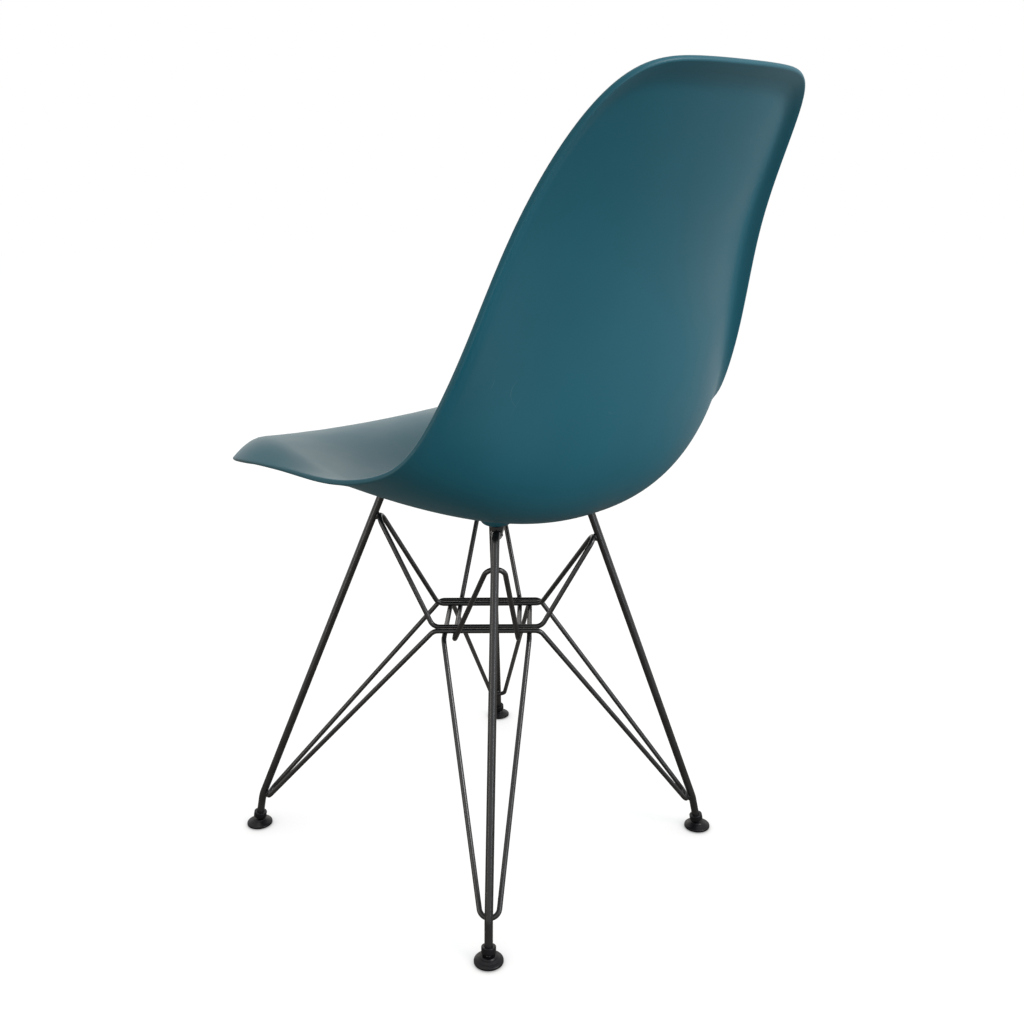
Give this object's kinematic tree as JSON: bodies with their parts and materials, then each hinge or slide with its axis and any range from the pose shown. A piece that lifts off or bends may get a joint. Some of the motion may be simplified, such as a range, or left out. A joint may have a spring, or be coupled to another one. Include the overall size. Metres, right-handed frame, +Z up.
{
  "type": "moulded shell chair",
  "caption": "Side chair with a one-piece moulded plastic seat and back on a welded steel rod base with crossed wire loops and tilting glides.",
  "frame": {"origin": "on the floor, under the middle of the chair's overall width and depth", "axes": "+Z up, -Y to the front, so the sitter faces -Y, and +X to the sitter's left"},
  "size_m": [0.4698, 0.5928, 0.8145],
  "materials": {
    "shell_plastic": "satin moulded polypropylene with a fine even texture",
    "frame_steel": "dark grey satin coating on steel rod and wire",
    "fastener_steel": "dull zinc-plated",
    "insert_brass": "machined",
    "pad_rubber": "matt black rubber",
    "glide_nylon": "black moulded nylon, semi-gloss",
    "cup_nylon": "black moulded nylon",
    "sole_rubber": "dark matt non-slip sole"
  },
  "bodies": {
    "base": {"cross_wire_front": "frame_steel", "cross_wire_rear": "frame_steel", "glide_sleeve_front_left": "glide_nylon", "glide_sleeve_front_right": "glide_nylon", "glide_sleeve_rear_left": "glide_nylon", "glide_sleeve_rear_right": "glide_nylon", "leg_front_left": "frame_steel", "leg_front_right": "frame_steel", "leg_rear_left": "frame_steel", "leg_rear_right": "frame_steel", "lower_loop_left_right": "frame_steel", "lower_loop_right_left": "frame_steel", "rubber_pad_front_left": "pad_rubber", "rubber_pad_front_right": "pad_rubber", "rubber_pad_rear_left": "pad_rubber", "rubber_pad_rear_right": "pad_rubber", "screw_front_left": "fastener_steel", "screw_front_right": "fastener_steel", "screw_rear_left": "fastener_steel", "screw_rear_right": "fastener_steel", "shell": "shell_plastic", "threaded_insert_front_left": "insert_brass", "threaded_insert_front_right": "insert_brass", "threaded_insert_rear_left": "insert_brass", "threaded_insert_rear_right": "insert_brass", "upper_loop_left_right": "frame_steel", "upper_loop_right_left": "frame_steel", "washer_front_left": "fastener_steel", "washer_front_right": "fastener_steel", "washer_rear_left": "fastener_steel", "washer_rear_right": "fastener_steel"},
    "cup_front_left": {"glide_cup_front_left": "cup_nylon"},
    "cup_front_right": {"glide_cup_front_right": "cup_nylon"},
    "cup_rear_left": {"glide_cup_rear_left": "cup_nylon"},
    "cup_rear_right": {"glide_cup_rear_right": "cup_nylon"},
    "shoe_front_left": {"glide_shoe_front_left": "glide_nylon", "glide_sole_front_left": "sole_rubber"},
    "shoe_front_right": {"glide_shoe_front_right": "glide_nylon", "glide_sole_front_right": "sole_rubber"},
    "shoe_rear_left": {"glide_shoe_rear_left": "glide_nylon", "glide_sole_rear_left": "sole_rubber"},
    "shoe_rear_right": {"glide_shoe_rear_right": "glide_nylon", "glide_sole_rear_right": "sole_rubber"}
  },
  "joints": [
    {"name": "front_left_glide_tilt", "type": "hinge", "parent": "base", "child": "cup_front_left", "pos_m": [0.19411, -0.21443, 0.0064], "axis": [0.7193, 0.6947, 0], "range_deg": [-8, 8]},
    {"name": "front_left_shoe_spin", "type": "hinge", "parent": "cup_front_left", "child": "shoe_front_left", "pos_m": [0.19411, -0.21443, 0.004], "axis": [0, 0, 1], "continuous": true},
    {"name": "front_right_glide_tilt", "type": "hinge", "parent": "base", "child": "cup_front_right", "pos_m": [-0.19411, -0.21443, 0.0064], "axis": [0.7193, -0.6947, 0], "range_deg": [-8, 8]},
    {"name": "front_right_shoe_spin", "type": "hinge", "parent": "cup_front_right", "child": "shoe_front_right", "pos_m": [-0.19411, -0.21443, 0.004], "axis": [0, 0, 1], "continuous": true},
    {"name": "rear_left_glide_tilt", "type": "hinge", "parent": "base", "child": "cup_rear_left", "pos_m": [0.16553, 0.15531, 0.0064], "axis": [-0.6553, 0.7554, 0], "range_deg": [-8, 8]},
    {"name": "rear_left_shoe_spin", "type": "hinge", "parent": "cup_rear_left", "child": "shoe_rear_left", "pos_m": [0.16553, 0.15531, 0.004], "axis": [0, 0, 1], "continuous": true},
    {"name": "rear_right_glide_tilt", "type": "hinge", "parent": "base", "child": "cup_rear_right", "pos_m": [-0.16553, 0.15531, 0.0064], "axis": [-0.6553, -0.7554, 0], "range_deg": [-8, 8]},
    {"name": "rear_right_shoe_spin", "type": "hinge", "parent": "cup_rear_right", "child": "shoe_rear_right", "pos_m": [-0.16553, 0.15531, 0.004], "axis": [0, 0, 1], "continuous": true}
  ]
}
